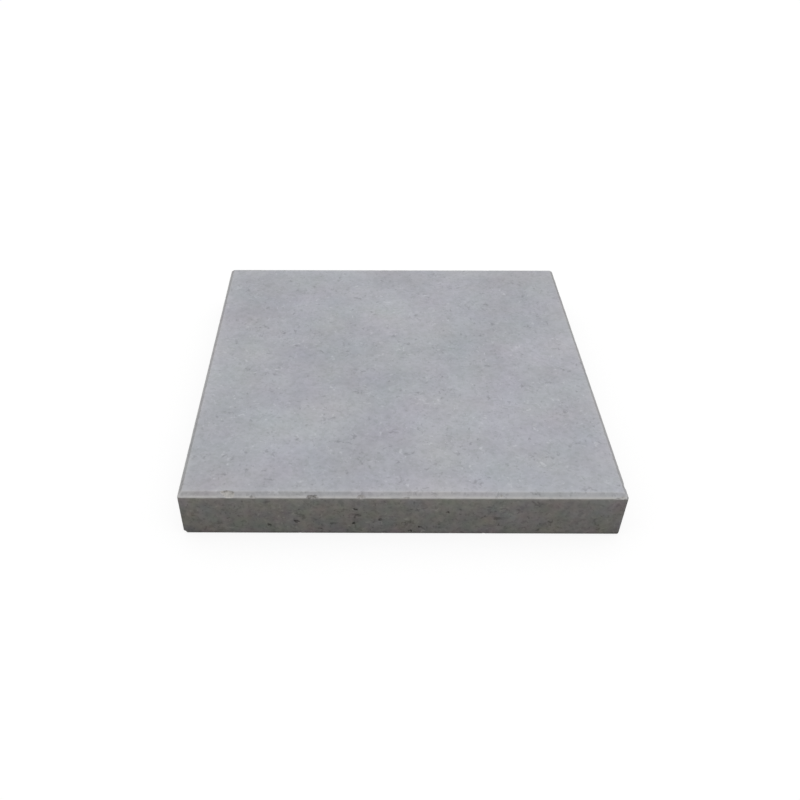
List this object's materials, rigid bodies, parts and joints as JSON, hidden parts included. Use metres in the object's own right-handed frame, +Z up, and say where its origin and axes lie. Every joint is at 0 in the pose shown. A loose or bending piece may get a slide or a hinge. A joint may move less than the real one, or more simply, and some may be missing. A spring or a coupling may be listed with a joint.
{
  "type": "granite slab",
  "caption": "Square slab of light grey granite with a flat honed work face, arrised top edges and eased corners, used as a hard surface under leather while it is tooled and punched.",
  "frame": {"origin": "middle of the underside, on the surface that the slab rests on", "axes": "+Z up out of the work face through the slab's thickness, -Y towards the user at the front edge, +X to the user's right"},
  "size_m": [0.3048, 0.3048, 0.0381],
  "materials": {
    "granite": "honed work face and arris, sawn sides and underside, light grey with fine dark mica specks"
  },
  "bodies": {
    "root": {"granite_slab": "granite"}
  },
  "joints": []
}
